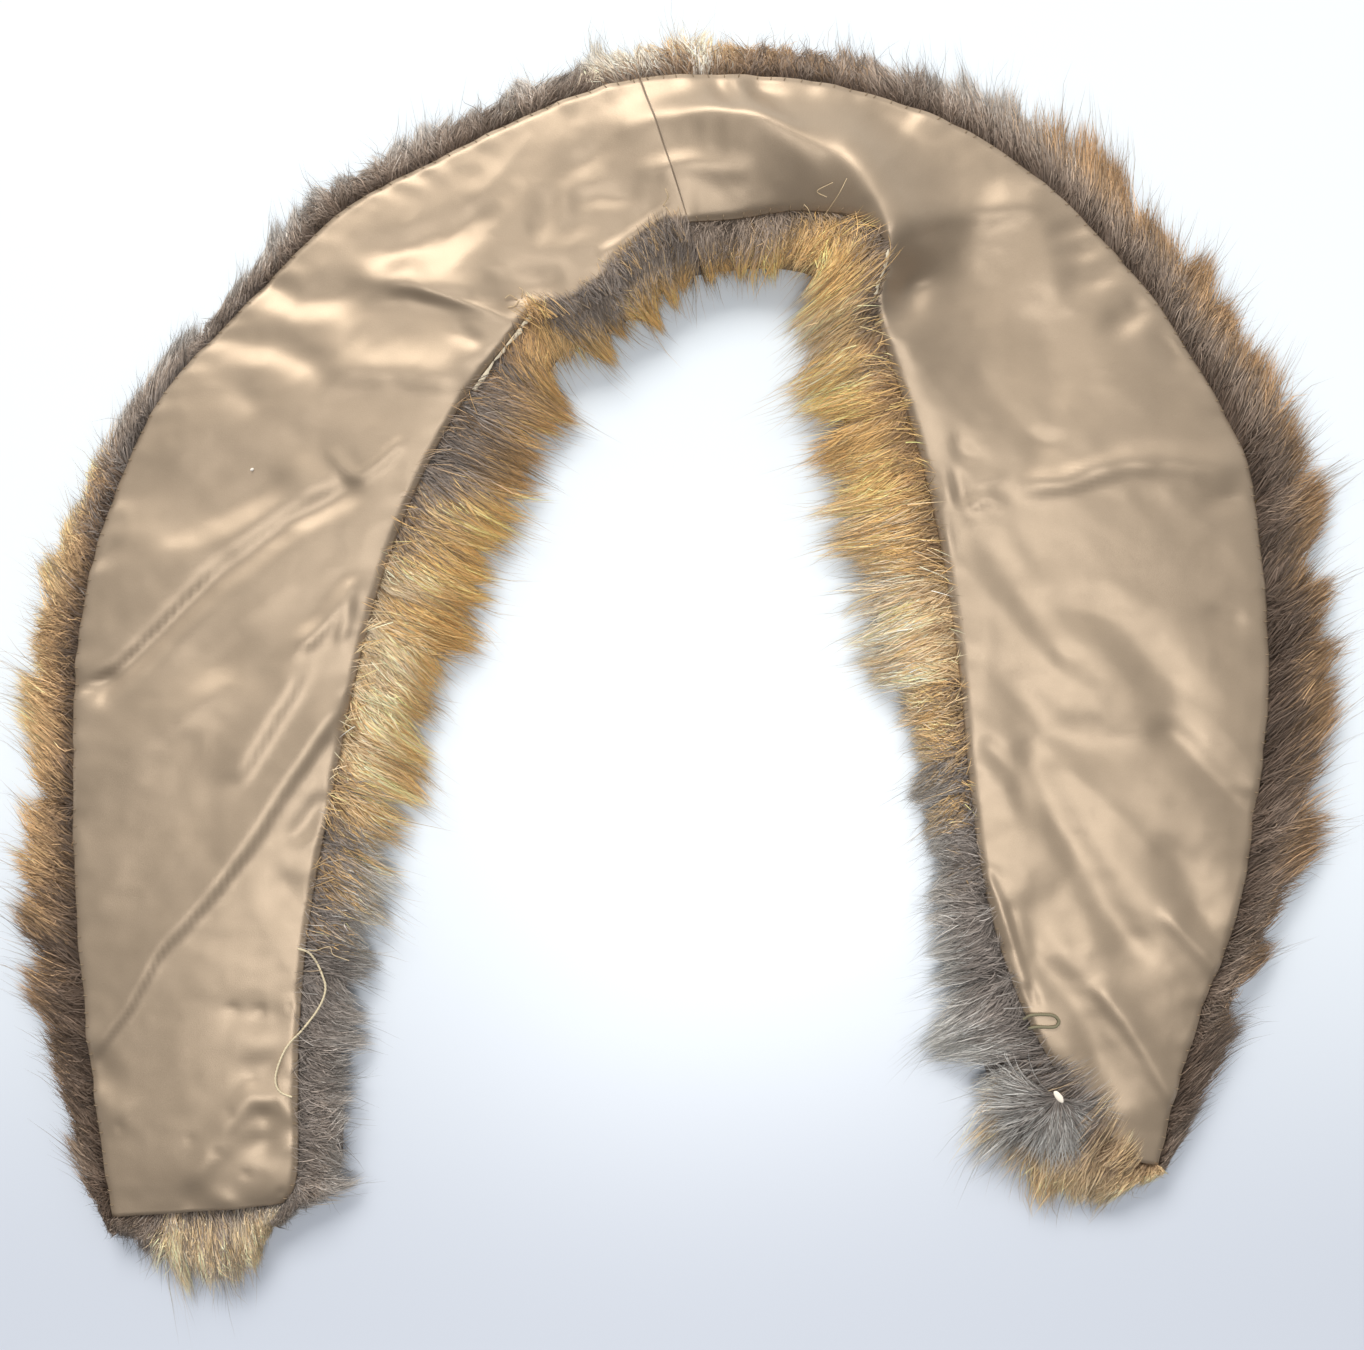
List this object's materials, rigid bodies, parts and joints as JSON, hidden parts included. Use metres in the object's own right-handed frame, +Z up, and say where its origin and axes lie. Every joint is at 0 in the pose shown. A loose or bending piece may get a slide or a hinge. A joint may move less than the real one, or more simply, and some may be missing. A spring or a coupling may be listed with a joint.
{
  "type": "fur collar stole",
  "caption": "Vintage-style fur collar stole laid flat, satin lining up, with a hook eye and thread loop",
  "frame": {"origin": "middle of the bounding box in plan, on the surface the stole lies on", "axes": "+X to the pointed right end's side, +Y to the centre back of the neck, +Z up out of the lining"},
  "size_m": [0.6017, 0.587, 0.0471],
  "materials": {
    "fur": "long soft pile, grey-brown with golden tips",
    "satin": "champagne satin, soft sheen",
    "pelt": "raw cream hide",
    "hook_thread": "khaki thread wound on wire",
    "loop_thread": "cream cotton thread"
  },
  "bodies": {
    "root": {"fur_left": "fur", "fur_right": "fur", "lining_left": "satin", "lining_right": "satin", "pelt_edge_left": "pelt", "pelt_edge_right": "pelt", "hook_eye": "hook_thread", "thread_loop": "loop_thread"}
  },
  "joints": []
}
